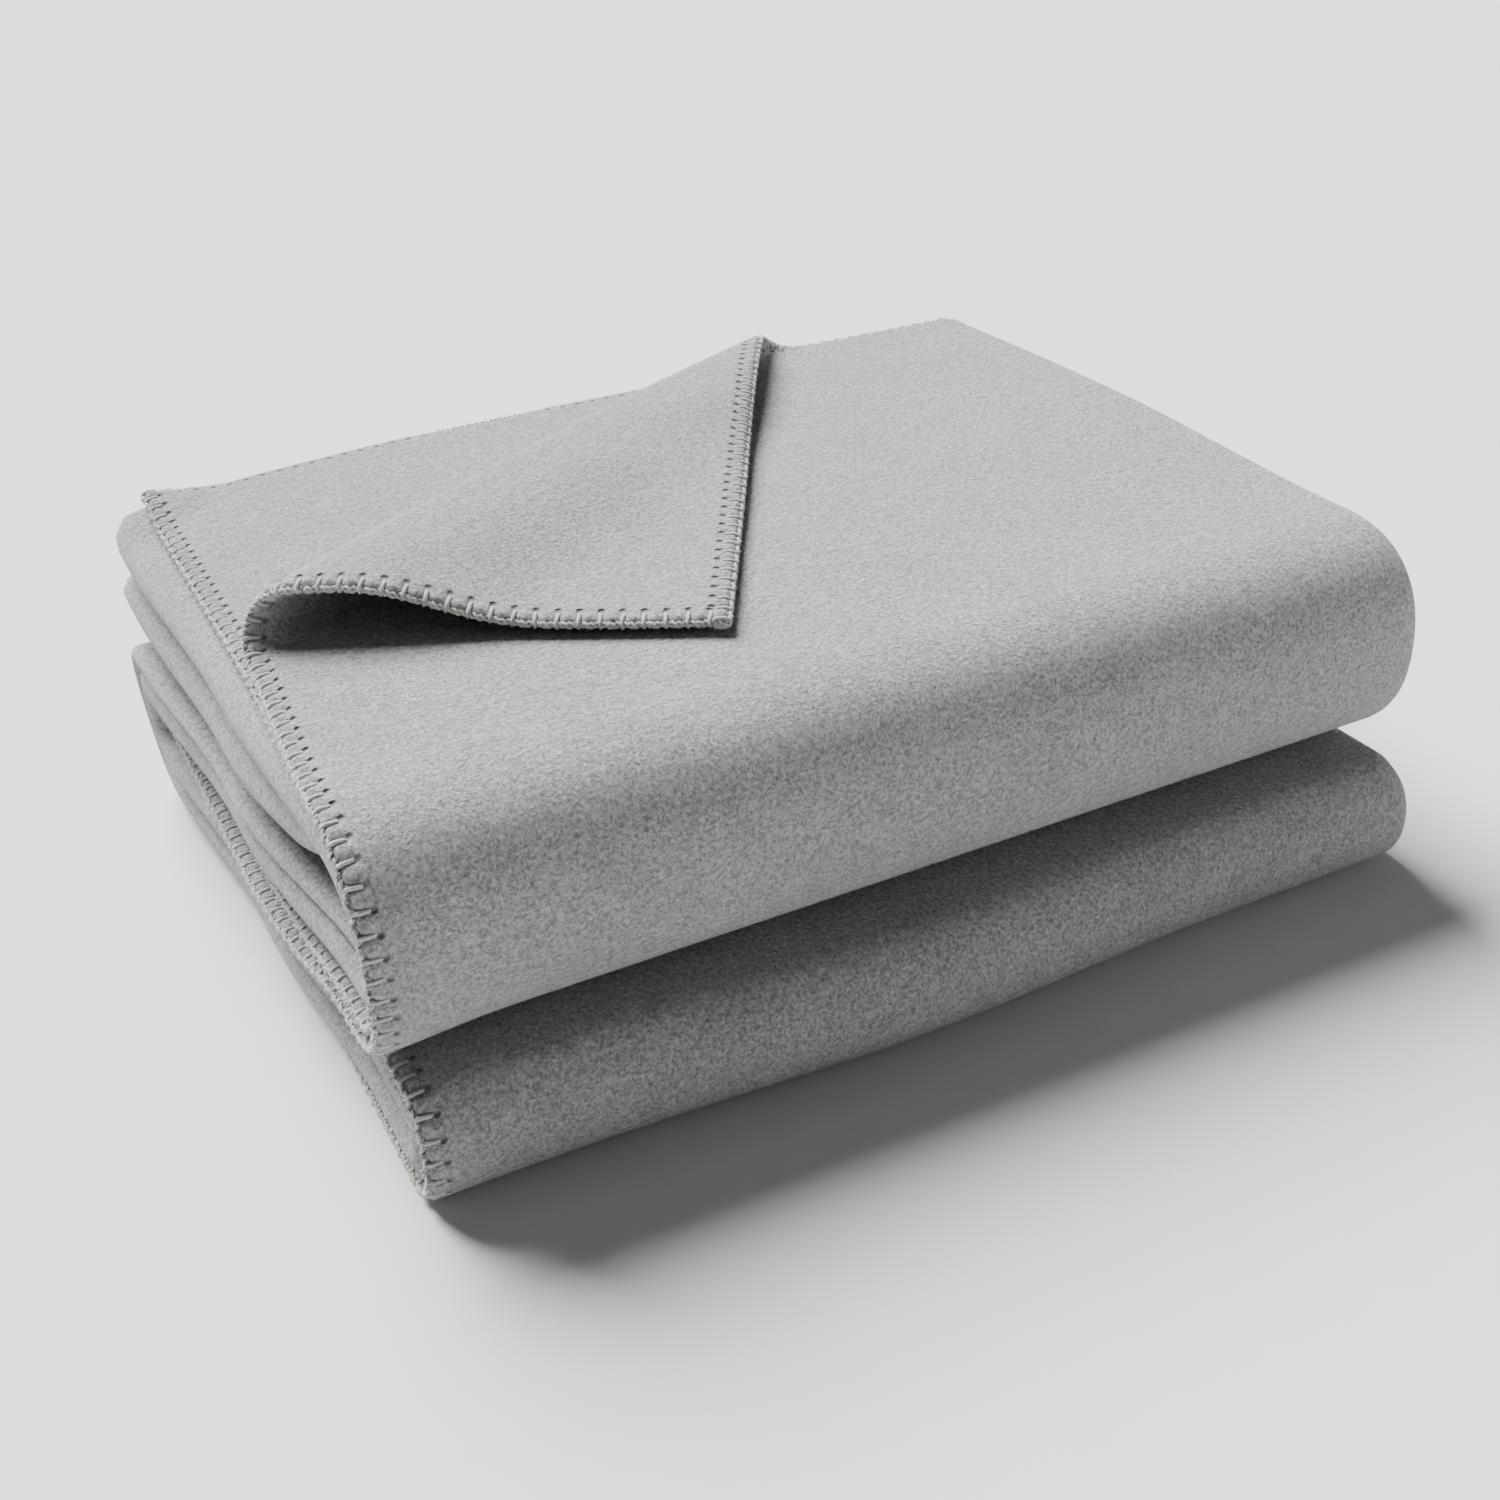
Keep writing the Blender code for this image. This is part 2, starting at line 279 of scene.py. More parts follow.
def lengths(line):
    steps = np.linalg.norm(np.diff(line, axis=0), axis=-1)
    return np.concatenate([[0], np.cumsum(steps)])


def unit(v):
    return v / np.maximum(np.linalg.norm(v, axis=-1, keepdims=True), 1e-12)


def solid(name, middle, normal, half, faces, places):
    """A closed sheet: faces of the middle surface, thickened to both sides."""
    faces = [list(f) for f in faces]
    used = sorted({i for f in faces for i in f})
    renumber = {old: new for new, old in enumerate(used)}
    faces = [[renumber[i] for i in f] for f in faces]
    mid, n, h = middle[used], normal[used], half[used][:, None]
    count = len(used)
    seen = {}
    for f in faces:
        for i, j in zip(f, f[1:] + f[:1]):
            seen[(i, j)] = True
    rim = [(j, i, i + count, j + count) for i, j in seen if (j, i) not in seen]
    under = [[i + count for i in reversed(f)] for f in faces]
    mesh = bpy.data.meshes.new(name)
    verts = np.concatenate([mid + n * h, mid - n * h])
    mesh.from_pydata(verts.tolist(), [], faces + under + rim)
    mesh.update()
    mesh.polygons.foreach_set("use_smooth", np.ones(len(mesh.polygons), bool))
    thick = np.tile(half[used] > 0.45 * CLOTH / 2, 2)
    seam = {tuple(sorted(pair)) for i, j, k, m in rim for pair in ((i, j), (k, m))
            if thick[i] and thick[j]}
    sharp = mesh.attributes.new("sharp_edge", "BOOLEAN", "EDGE")
    cut = [tuple(sorted(edge.vertices)) in seam for edge in mesh.edges]
    sharp.data.foreach_set("value", cut)
    for key, place in places.items():
        attribute = mesh.attributes.new(key, "FLOAT_VECTOR", "POINT")
        both = np.concatenate([place[used], place[used]]).astype(np.float32)
        attribute.data.foreach_set("vector", both.ravel())
    return mesh


def add_piece(name, mesh, material):
    piece = bpy.data.objects.new(name, mesh)
    bpy.context.scene.collection.objects.link(piece)
    mesh.materials.append(material)
    return piece


# ---------------------------------------------------------------- the folded strip
class Strip:
    """The folded panel as one grid: rows along the folding path, columns across the cloth."""

    def __init__(self):
        parts = [
            ("top", run_rows(5, Y_END, Y_UP, ROW)),
            ("outer", fold_rows(5, 2, Y_UP, -1, ROW)),
            ("low", run_rows(2, Y_UP, Y_BACK, ROW)),
            ("low", fold_rows(2, 1, Y_BACK, 1, ROW)),
            ("low", run_rows(1, Y_BACK, Y_LOW, 2 * ROW)),
            ("floor", fold_rows(1, 0, Y_LOW, -1, ROW)),
            ("floor", run_rows(0, Y_LOW, Y_BACK, 2 * ROW)),
            ("floor", fold_rows(0, 3, Y_BACK, 1, 1.5 * ROW)),
            ("floor", run_rows(3, Y_BACK, Y_UP, 2 * ROW)),
            ("inner", fold_rows(3, 4, Y_UP, -1, ROW)),
            ("second", run_rows(4, Y_UP, Y_END, ROW)),
        ]
        self.grid = settle(np.concatenate([rows for _, rows in parts]))
        self.spans = {}
        row = 0
        for name, rows in parts:
            first, _ = self.spans.get(name, (row, row))
            row += len(rows)
            self.spans[name] = (first, row - 1)
        # neighbours share a row, so that the cloth runs on without a gap
        order = ["top", "outer", "low", "floor", "inner", "second"]
        for left, right in zip(order, order[1:]):
            if left in ("outer", "low", "inner"):
                self.spans[left] = (self.spans[left][0], self.spans[right][0])
            else:
                self.spans[right] = (self.spans[left][1], self.spans[right][1])
        self.normal = normals_of(self.grid)
        self.measure()

    def measure(self):
        grid = self.grid
        cols = grid.shape[1]
        self.first = lengths(grid[:, 0])
        self.first -= self.first[self.spans["outer"][0]]
        self.second = lengths(grid[:, -1])
        across = np.linalg.norm(np.diff(grid, axis=1), axis=-1)
        self.across = np.concatenate([np.zeros((len(grid), 1)), np.cumsum(across, axis=1)], 1)
        total = self.across[:, -1:]
        near_first = self.across < total / 2
        self.inward = np.where(near_first, self.across, total - self.across)
        self.along = np.where(near_first, self.first[:, None], self.second[:, None])
        down = self.second[:, None] * np.ones(cols)
        self.end = np.minimum(down, down[-1] - down)
        side = half_thickness(self.along, self.inward)
        end = half_thickness(self.across, self.end)
        self.half = np.minimum(side, end)
        swing = scalloped(self.along, self.inward)[..., None]
        out = unit(np.gradient(grid, axis=1))
        out = np.where(near_first[..., None], -out, out)
        self.grid = grid + swing * out

    def piece(self, name, first_column=0):
        a, b = self.spans[name]
        rows, cols = b - a + 1, self.grid.shape[1] - first_column
        index = np.arange(rows * cols).reshape(rows, cols)
        quads = np.stack([index[:-1, :-1], index[1:, :-1], index[1:, 1:], index[:-1, 1:]], -1)

        def cut(values):
            values = values[a : b + 1, first_column:]
            return values.reshape(rows * cols, *values.shape[2:])

        zero = np.zeros(rows * cols)
        places = {
            "side": np.stack([cut(self.along), cut(self.inward), zero], -1),
            "end": np.stack([cut(self.across), cut(self.end), zero], -1),
        }
        return solid(name, cut(self.grid), cut(self.normal), cut(self.half),
                     quads.reshape(-1, 4), places)

    def edge(self, name, which):
        """Points, inward directions and normals of a long edge of a piece."""
        a, b = self.spans[name]
        c, inner = (0, 4) if which == "first" else (-1, -5)
        points = self.grid[a : b + 1, c]
        inward = unit(self.grid[a : b + 1, inner] - points)
        place = (self.first if which == "first" else self.second)[a : b + 1]
        return points, inward, self.normal[a : b + 1, c], place

    def end_edge(self, row, first_column=0):
        points = self.grid[row, first_column:]
        inner = self.grid[row + 4 if row == 0 else row - 4, first_column:]
        place = self.across[row, first_column:]
        return points, unit(inner - points), self.normal[row, first_column:], place


# ---------------------------------------------------------------- the top leaf and its corner
CREASE = math.hypot(CORNER_LEFT, CORNER_BACK)
ALONG = np.array([CORNER_BACK, CORNER_LEFT]) / CREASE
OVER = np.array([CORNER_LEFT, -CORNER_BACK]) / CREASE
REACHED = CORNER_LEFT * CORNER_BACK / CREASE  # from the corner to the crease
S_LEFT = -CORNER_LEFT * ALONG[1]
S_BACK = CORNER_BACK * ALONG[0]
TURN = np.linspace(0, 1, 201)
RISE = float(np.mean(np.sin(math.pi * smooth(TURN))))


def roll_height(s):
    share = (s - S_LEFT) / (S_BACK - S_LEFT)
    return 2 * (ROLL_LEFT + (ROLL_BACK - ROLL_LEFT) * share)


def roll_length(s):
    return roll_height(s) / RISE


def turned_by(s, q):
    """How far a point of the leaf is past the line where the corner starts to turn up."""
    return REACHED + 0.5 * roll_length(s) + 0.0038 - q


def leaf_points(x, y):
    """The leaf with its corner turned: where points of the flat cloth come to lie."""
    dx, dy = x - X_CLOTH, y - Y_END
    s = dx * ALONG[0] + dy * ALONG[1]
    q = dx * OVER[0] + dy * OVER[1]
    past = np.clip(turned_by(s, q), 0, None)
    length = roll_length(s)
    drop = roll_height(s) - CLOTH - 0.0006
    glide = 0.046 + 1.3 * roll_height(s)
    steep = 2 * drop / glide
    steep = steep + 5 / 48 * steep**3
    w = past[..., None] * TURN
    after = np.clip((w - length[..., None]) / glide[..., None], 0, 1)
    angle = math.pi * smooth(w / length[..., None])
    angle = angle + steep[..., None] * np.sin(math.pi * after) ** 2
    over = q + past - past * np.trapz(np.cos(angle), TURN, axis=-1)
    up = past * np.trapz(np.sin(angle), TURN, axis=-1)
    landed = smooth((past - length) / glide)
    over = over + 0.05 * np.clip(past - length, 0, None) * landed
    up = up + landed * 0.0012 * (1 + drift(1.6 * x, 1.6 * y, 5))
    px = X_CLOTH + ALONG[0] * s + OVER[0] * over
    py = Y_END + ALONG[1] * s + OVER[1] * over
    pz = ply_height(5, 0, px, py) + up
    return settle(np.stack([px, py, pz], axis=-1))


def leaf_normals(x, y):
    tiny = 1e-4
    a = leaf_points(x + tiny, y) - leaf_points(x - tiny, y)
    b = leaf_points(x, y + tiny) - leaf_points(x, y - tiny)
    return unit(np.cross(a, b))


def leaf_pieces():
    """Meshes of the leaf, the roll and the turned corner, cut along the lines of the roll."""
    depths = np.concatenate([EDGE[:7] * LEAF_WIDTH, np.arange(EDGE_BAND, Y_END - Y_UP, ROW)])
    ys = Y_END - np.append(depths[depths < Y_END - Y_UP - 0.0006], Y_END - Y_UP)
    inner = np.arange(EDGE_BAND, LEAF_WIDTH - 0.0005, ROW) / LEAF_WIDTH
    shares = np.concatenate([EDGE[:7], inner, [1.0]])
    right = right_end(5)
    work = bmesh.new()
    rows = []
    for y in ys:
        start = reach(5, 1, y)
        rows.append([work.verts.new((start + (right - start) * t, y, 0)) for t in shares])
    for upper, lower in zip(rows, rows[1:]):
        for i in range(len(shares) - 1):
            work.faces.new((upper[i], lower[i], lower[i + 1], upper[i + 1]))
    for share in (0, 1):
        at_s = [S_LEFT, S_BACK]
        line = [turned_by(s, 0) - share * roll_length(s) for s in at_s]
        ends = [np.array([X_CLOTH, Y_END]) + ALONG * s + OVER * q for s, q in zip(at_s, line)]
        run = ends[1] - ends[0]
        everything = work.verts[:] + work.edges[:] + work.faces[:]
        bmesh.ops.bisect_plane(work, geom=everything, dist=1e-6, plane_co=(*ends[0], 0),
                               plane_no=(run[1], -run[0], 0))
    work.verts.index_update()
    flat = np.array([v.co[:2] for v in work.verts])
    parts = {"leaf": [], "roll": [], "corner": []}
    for face in work.faces:
        mid = face.calc_center_median()
        dx, dy = mid.x - X_CLOTH, mid.y - Y_END
        s = dx * ALONG[0] + dy * ALONG[1]
        past = turned_by(s, dx * OVER[0] + dy * OVER[1])
        key = "leaf" if past < 0 else "roll" if past < roll_length(s) else "corner"
        parts[key].append([v.index for v in face.verts])
    work.free()
    x, y = flat[:, 0], flat[:, 1]
    side = np.stack([Y_UP - y, x - reach(5, 1, y), 0 * x], -1)
    end = np.stack([x - X_CLOTH, Y_END - y, 0 * x], -1)
    half = np.minimum(half_thickness(side[:, 0], side[:, 1]), half_thickness(end[:, 0], end[:, 1]))
    moved_x = x - scalloped(side[:, 0], side[:, 1])
    moved_y = y + scalloped(end[:, 0], end[:, 1])
    middle, normal = leaf_points(moved_x, moved_y), leaf_normals(x, y)
    places = {"side": side, "end": end}
    return {key: solid(key, middle, normal, half, faces, places) for key, faces in parts.items()}


def leaf_edge(which, low, high):
    """Part of a stitched edge of the leaf, between two shares of the roll's length."""
    if which == "side":
        y = np.linspace(Y_UP, Y_END, 400)
        x = reach(5, 1, y)
        inner = leaf_points(x + 0.004, y)
        place = Y_UP - y
    else:
        x = np.linspace(X_CLOTH, right_end(5), 500)
        y = np.full_like(x, Y_END)
        inner = leaf_points(x, y - 0.004)
        place = x - X_CLOTH
    dx, dy = x - X_CLOTH, y - Y_END
    s = dx * ALONG[0] + dy * ALONG[1]
    share = turned_by(s, dx * OVER[0] + dy * OVER[1]) / roll_length(s)
    keep = (share >= low) & (share <= high)
    points = leaf_points(x, y)
    return points[keep], unit(inner - points)[keep], leaf_normals(x, y)[keep], place[keep]


# ---------------------------------------------------------------- blanket stitching
def tube(path, radius, sides):
    """Verts and faces of a closed tube along a path."""
    tangent = unit(np.gradient(path, axis=0))
    side = np.cross(tangent, np.array([0.31, 0.22, 0.925]))
    weak = np.linalg.norm(side, axis=-1) < 0.2
    side[weak] = np.cross(tangent[weak], np.array([0.9, -0.4, 0.1]))
    side = unit(side)
    other = np.cross(tangent, side)
    turn = np.arange(sides) * 2 * math.pi / sides
    ring = side[:, None] * np.cos(turn)[:, None] + other[:, None] * np.sin(turn)[:, None]
    verts = (path[:, None] + radius * ring).reshape(-1, 3)
    faces = []
    for i in range(len(path) - 1):
        for j in range(sides):
            k = (j + 1) % sides
            a, b = i * sides, (i + 1) * sides
            faces.append((a + j, a + k, b + k, b + j))
    last = (len(path) - 1) * sides
    faces.append(tuple(range(sides - 1, -1, -1)))
    faces.append(tuple(range(last, last + sides)))
    return verts, faces


def stitch_mesh():
    """One leg of the blanket stitch: in through the cloth, over both faces and the edge."""
    profile = [(LEG, 0.0), (LEG - 0.0004, 0.9), (0.8 * LEG, 1.45), (0.45 * LEG, 1.55)]
    profile += [(0.15 * LEG, 1.45), (-0.0006, 0.8), (-0.0009, 0.0)]
    profile += [(x, -z) for x, z in profile[-2:0:-1]]
    path = np.array([(x, 0, z * 0.001) for x, z in profile])
    verts, faces = tube(path, 1.15 * YARN, 6)
    mesh = bpy.data.meshes.new("stitch_leg")
    mesh.from_pydata(verts.tolist(), [], faces)
    mesh.polygons.foreach_set("use_smooth", np.ones(len(mesh.polygons), bool))
    return mesh


def stitching_nodes(leg, yarn):
    """Sets a leg on every point, turned by the point's own rotation with a little spread."""
    tree = bpy.data.node_groups.new("blanket_stitches", "GeometryNodeTree")
    face = tree.interface
    face.new_socket("Geometry", in_out="INPUT", socket_type="NodeSocketGeometry")
    spread = face.new_socket("Spread", in_out="INPUT", socket_type="NodeSocketFloat")
    spread.default_value = 0.10
    seed = face.new_socket("Seed", in_out="INPUT", socket_type="NodeSocketInt")
    seed.default_value = 7
    face.new_socket("Geometry", in_out="OUTPUT", socket_type="NodeSocketGeometry")
    nodes, links = tree.nodes, tree.links
    source = nodes.new("NodeGroupInput")
    shape = nodes.new("GeometryNodeObjectInfo")
    shape.inputs["Object"].default_value = leg
    turn = nodes.new("GeometryNodeInputNamedAttribute")
    turn.data_type = "QUATERNION"
    turn.inputs["Name"].default_value = "turn"
    lean = nodes.new("FunctionNodeRandomValue")
    lean.data_type = "FLOAT"
    negative = nodes.new("ShaderNodeMath")
    negative.operation = "MULTIPLY"
    negative.inputs[1].default_value = -1.0
    links.new(source.outputs["Spread"], negative.inputs[0])
    minimum = [i for i in lean.inputs if i.name == "Min" and i.type == "VALUE"][0]
    maximum = [i for i in lean.inputs if i.name == "Max" and i.type == "VALUE"][0]
    links.new(negative.outputs[0], minimum)
    links.new(source.outputs["Spread"], maximum)
    links.new(source.outputs["Seed"], lean.inputs["Seed"])
    angles = nodes.new("ShaderNodeCombineXYZ")
    amount = [o for o in lean.outputs if o.type == "VALUE"][0]
    links.new(amount, angles.inputs["Z"])
    as_turn = nodes.new("FunctionNodeEulerToRotation")
    links.new(angles.outputs[0], as_turn.inputs[0])
    both = nodes.new("FunctionNodeRotateRotation")
    both.rotation_space = "LOCAL"
    links.new([o for o in turn.outputs if o.name == "Attribute"][0], both.inputs[0])
    links.new(as_turn.outputs[0], both.inputs[1])
    place = nodes.new("GeometryNodeInstanceOnPoints")
    links.new(source.outputs["Geometry"], place.inputs["Points"])
    links.new(shape.outputs["Geometry"], place.inputs["Instance"])
    links.new(both.outputs[0], place.inputs["Rotation"])
    real = nodes.new("GeometryNodeRealizeInstances")
    links.new(place.outputs[0], real.inputs[0])
    paint = nodes.new("GeometryNodeSetMaterial")
    paint.inputs["Material"].default_value = yarn
    links.new(real.outputs[0], paint.inputs[0])
    sink = nodes.new("NodeGroupOutput")
    links.new(paint.outputs[0], sink.inputs[0])
    return tree


def stitch_spots(edge):
    """Where the legs stand on an edge: points and rotations."""
    points, inward, normal, place = edge
    order = np.argsort(place)
    points, inward, normal, place = points[order], inward[order], normal[order], place[order]
    numbers = np.arange(math.ceil(place[0] / STITCH), math.floor(place[-1] / STITCH) + 1)
    at = numbers * STITCH

    def pick(values):
        return np.stack([np.interp(at, place, values[:, i]) for i in range(3)], -1)

    spot, x, z = pick(points), unit(pick(inward)), pick(normal)
    y = unit(np.cross(z, x))
    z = np.cross(x, y)
    turns = []
    for i in range(len(at)):
        turns.append(Matrix(np.stack([x[i], y[i], z[i]], -1).tolist()).to_quaternion())
    return spot, turns


def purl(edge):
    """The two strands that run along an edge, twisted about each other."""
    points, inward, normal, place = edge
    if len(points) < 3:
        return []
    order = np.argsort(place)
    points, inward, normal, place = points[order], inward[order], normal[order], place[order]
    count = max(6, int(round((place[-1] - place[0]) / 0.0011)))
    at = np.linspace(place[0], place[-1], count)

    def pick(values):
        return np.stack([np.interp(at, place, values[:, i]) for i in range(3)], -1)

    p, x, z = pick(points), unit(pick(inward)), unit(pick(normal))
    strands = []
    swing = 0.0003 * np.cos(2 * math.pi * at / STITCH)
    for part in (0, 1):
        phase = 2 * math.pi * at / (0.62 * STITCH) + part * math.pi
        path = p + x * (swing - 0.0004 - 0.00062 * np.sin(phase))[:, None]
        path = path + z * (0.00075 * np.cos(phase))[:, None]
        strands.append(tube(path, YARN, 5))
    return strands


def edging(name, edges, tree, yarn):
    """All the yarn of one part of the cloth, as one mesh."""
    spots, turns = [], []
    for edge in edges:
        if len(edge[0]) > 2:
            p, q = stitch_spots(edge)
            spots += p.tolist()
            turns += q
    seedbed = bpy.data.meshes.new(name + "_points")
    seedbed.from_pydata(spots, [], [])
    turn = seedbed.attributes.new("turn", "QUATERNION", "POINT")
    turn.data.foreach_set("value", np.array([tuple(q) for q in turns], np.float32).ravel())
    holder = bpy.data.objects.new(name + "_points", seedbed)
    bpy.context.scene.collection.objects.link(holder)
    modifier = holder.modifiers.new("stitches", "NODES")
    modifier.node_group = tree
    for item in tree.interface.items_tree:
        if item.item_type == "SOCKET" and item.in_out == "INPUT" and item.name != "Geometry":
            modifier[item.identifier] = item.default_value
    graph = bpy.context.evaluated_depsgraph_get()
    legs = bpy.data.meshes.new_from_object(holder.evaluated_get(graph), depsgraph=graph)
    bpy.data.objects.remove(holder)
    work = bmesh.new()
    work.from_mesh(legs)
    for edge in edges:
        for verts, faces in purl(edge):
            made = [work.verts.new(v) for v in verts]
            for f in faces:
                work.faces.new([made[i] for i in f]).smooth = True
    bmesh.ops.recalc_face_normals(work, faces=work.faces[:])
    mesh = bpy.data.meshes.new(name)
    work.to_mesh(mesh)
    work.free()
    mesh.materials.clear()
    return add_piece(name, mesh, yarn)


# ---------------------------------------------------------------- materials
def new_material(name):
    material = bpy.data.materials.new(name)
    material.use_nodes = True
    nodes, links = material.node_tree.nodes, material.node_tree.links
    return material, nodes, links, nodes["Principled BSDF"]


def noise_at(nodes, links, source, scale, detail=2.0, rough=0.5, distortion=0.0):
    noise = nodes.new("ShaderNodeTexNoise")
    noise.inputs["Distortion"].default_value = distortion
    noise.inputs["Scale"].default_value = scale
    noise.inputs["Detail"].default_value = detail
    noise.inputs["Roughness"].default_value = rough
    links.new(source, noise.inputs["Vector"])
    return noise.outputs["Fac"]


def ramp_of(nodes, links, value, low, high, low_colour, high_colour):
    ramp = nodes.new("ShaderNodeValToRGB")
    ramp.color_ramp.elements[0].position = low
    ramp.color_ramp.elements[1].position = high
    ramp.color_ramp.elements[0].color = (*low_colour, 1)
    ramp.color_ramp.elements[1].color = (*high_colour, 1)
    links.new(value, ramp.inputs[0])
    return ramp.outputs[0]


def maths(nodes, links, operation, *values):
    node = nodes.new("ShaderNodeMath")
    node.operation = operation
    for i, value in enumerate(values):
        if isinstance(value, (int, float)):
            node.inputs[i].default_value = value
        else:
            links.new(value, node.inputs[i])
    return node.outputs[0]


def mixed(nodes, links, kind, factor, a, b):
    node = nodes.new("ShaderNodeMix")
    node.data_type = "RGBA"
    node.blend_type = kind
    if isinstance(factor, (int, float)):
        node.inputs[0].default_value = factor
    else:
        links.new(factor, node.inputs[0])
    for socket, value in ((node.inputs[6], a), (node.inputs[7], b)):
        if isinstance(value, tuple):
            socket.default_value = (*value, 1)
        else:
            links.new(value, socket)
    return node.outputs[2]


def faded(nodes, links, value, near, far):
    """1 up to near, falling softly to 0 at far."""
    fade = nodes.new("ShaderNodeMapRange")
    fade.interpolation_type = "SMOOTHSTEP"
    fade.inputs["From Min"].default_value = near
    fade.inputs["From Max"].default_value = far
    fade.inputs["To Min"].default_value = 1.0
    fade.inputs["To Max"].default_value = 0.0
    links.new(value, fade.inputs["Value"])
    return fade.outputs[0]


def stitch_shade_and_dent_mask(nodes, links, key):
    """Mask for the stitches: 1 at the end of each stitch leg, less beside the leg, 0 elsewhere. It
    darkens the cloth there as painted shade in the holes and grooves, and sinks it as dents in the
    bump.
    """
    place = nodes.new("ShaderNodeAttribute")
    place.attribute_name = key
    parts = nodes.new("ShaderNodeSeparateXYZ")
    links.new(place.outputs["Vector"], parts.inputs[0])
    turns = maths(nodes, links, "DIVIDE", parts.outputs[0], STITCH)
    nearest = maths(nodes, links, "ROUND", turns)
    off = maths(nodes, links, "SUBTRACT", turns, nearest)
    side = maths(nodes, links, "MULTIPLY", off, STITCH)
    deep = maths(nodes, links, "SUBTRACT", parts.outputs[1], LEG + 0.0003)
    both = maths(nodes, links, "ADD", maths(nodes, links, "POWER", maths(
        nodes, links, "ABSOLUTE", side), 2.0), maths(nodes, links, "POWER", maths(
            nodes, links, "ABSOLUTE", deep), 2.0))
    far = maths(nodes, links, "SQRT", both)
    hole = faded(nodes, links, far, 0.0002, 0.0016)
    beside = faded(nodes, links, maths(nodes, links, "ABSOLUTE", side), 0.0005, 0.0016)
    within = faded(nodes, links, parts.outputs[1], LEG - 0.0004, LEG + 0.0006)
    groove = maths(nodes, links, "MULTIPLY", maths(nodes, links, "MULTIPLY", beside, within), 0.22)
    return maths(nodes, links, "MAXIMUM", hole, groove)


def fleece_material():
    """Light grey fleece: short matted nap, mottled, with a soft bloom at grazing angles."""
    material, nodes, links, shader = new_material("fleece")
    where = nodes.new("ShaderNodeTexCoord").outputs["Object"]
    flecks = noise_at(nodes, links, where, 780, 4.0, 0.78, 0.4)
    tufts = noise_at(nodes, links, where, 340, 3.0, 0.65, 0.3)
    patches = noise_at(nodes, links, where, 38, 3.0, 0.6)
    colour = ramp_of(nodes, links, flecks, 0.37, 0.63, (0.25, 0.251, 0.243), (0.68, 0.677, 0.657))
    soft = ramp_of(nodes, links, tufts, 0.30, 0.72, (0.80, 0.80, 0.80), (1.0, 1.0, 1.0))
    wide = ramp_of(nodes, links, patches, 0.30, 0.70, (0.90, 0.90, 0.895), (1.0, 1.0, 1.0))
    colour = mixed(nodes, links, "MULTIPLY", 1.0, colour, soft)
    colour = mixed(nodes, links, "MULTIPLY", 1.0, colour, wide)
    # mask for painted shade and bump dents at the stitch holes and beside the legs
    stitch_shade_and_dents = maths(nodes, links, "MAXIMUM", stitch_shade_and_dent_mask(nodes, links, "side"),
                  stitch_shade_and_dent_mask(nodes, links, "end"))
    # painted shade: the cloth turns dark grey in the stitch holes and in the grooves beside each
    # leg, where shade falls
    colour = mixed(nodes, links, "MIX", stitch_shade_and_dents, colour, (0.20, 0.20, 0.195))
    links.new(colour, shader.inputs["Base Color"])
    rough = nodes.new("ShaderNodeMapRange")
    rough.inputs["To Min"].default_value = 0.88
    rough.inputs["To Max"].default_value = 1.0
    links.new(tufts, rough.inputs["Value"])
    links.new(rough.outputs[0], shader.inputs["Roughness"])
    shader.inputs["Specular IOR Level"].default_value = 0.15
    shader.inputs["Sheen Weight"].default_value = 0.25
    shader.inputs["Sheen Roughness"].default_value = 0.55
    height = maths(nodes, links, "ADD", flecks, maths(nodes, links, "MULTIPLY", tufts, 0.8))
    height = maths(nodes, links, "SUBTRACT", height, maths(nodes, links, "MULTIPLY", stitch_shade_and_dents, 1.5))
    relief = nodes.new("ShaderNodeBump")
    relief.inputs["Strength"].default_value = 0.9
    relief.inputs["Distance"].default_value = 0.0021
    links.new(height, relief.inputs["Height"])
    links.new(relief.outputs[0], shader.inputs["Normal"])
    return material


def yarn_material():
    """Pale grey-green wool yarn: spun strands with a little fuzz."""
    material, nodes, links, shader = new_material("edging yarn")
    where = nodes.new("ShaderNodeTexCoord").outputs["Object"]
    fibres = noise_at(nodes, links, where, 1500, 3.0, 0.65)
    shade = noise_at(nodes, links, where, 90, 2.0, 0.5)
    colour = ramp_of(nodes, links, fibres, 0.28, 0.72, (0.30, 0.315, 0.285), (0.66, 0.68, 0.63))
    wide = ramp_of(nodes, links, shade, 0.3, 0.7, (0.86, 0.86, 0.86), (1.0, 1.0, 1.0))
    colour = mixed(nodes, links, "MULTIPLY", 1.0, colour, wide)
    links.new(colour, shader.inputs["Base Color"])
    shader.inputs["Roughness"].default_value = 0.85
    shader.inputs["Specular IOR Level"].default_value = 0.2
    shader.inputs["Sheen Weight"].default_value = 0.3
    shader.inputs["Sheen Roughness"].default_value = 0.4
    relief = nodes.new("ShaderNodeBump")
    relief.inputs["Strength"].default_value = 0.8
    relief.inputs["Distance"].default_value = 0.0004
    links.new(fibres, relief.inputs["Height"])
    links.new(relief.outputs[0], shader.inputs["Normal"])
    return material


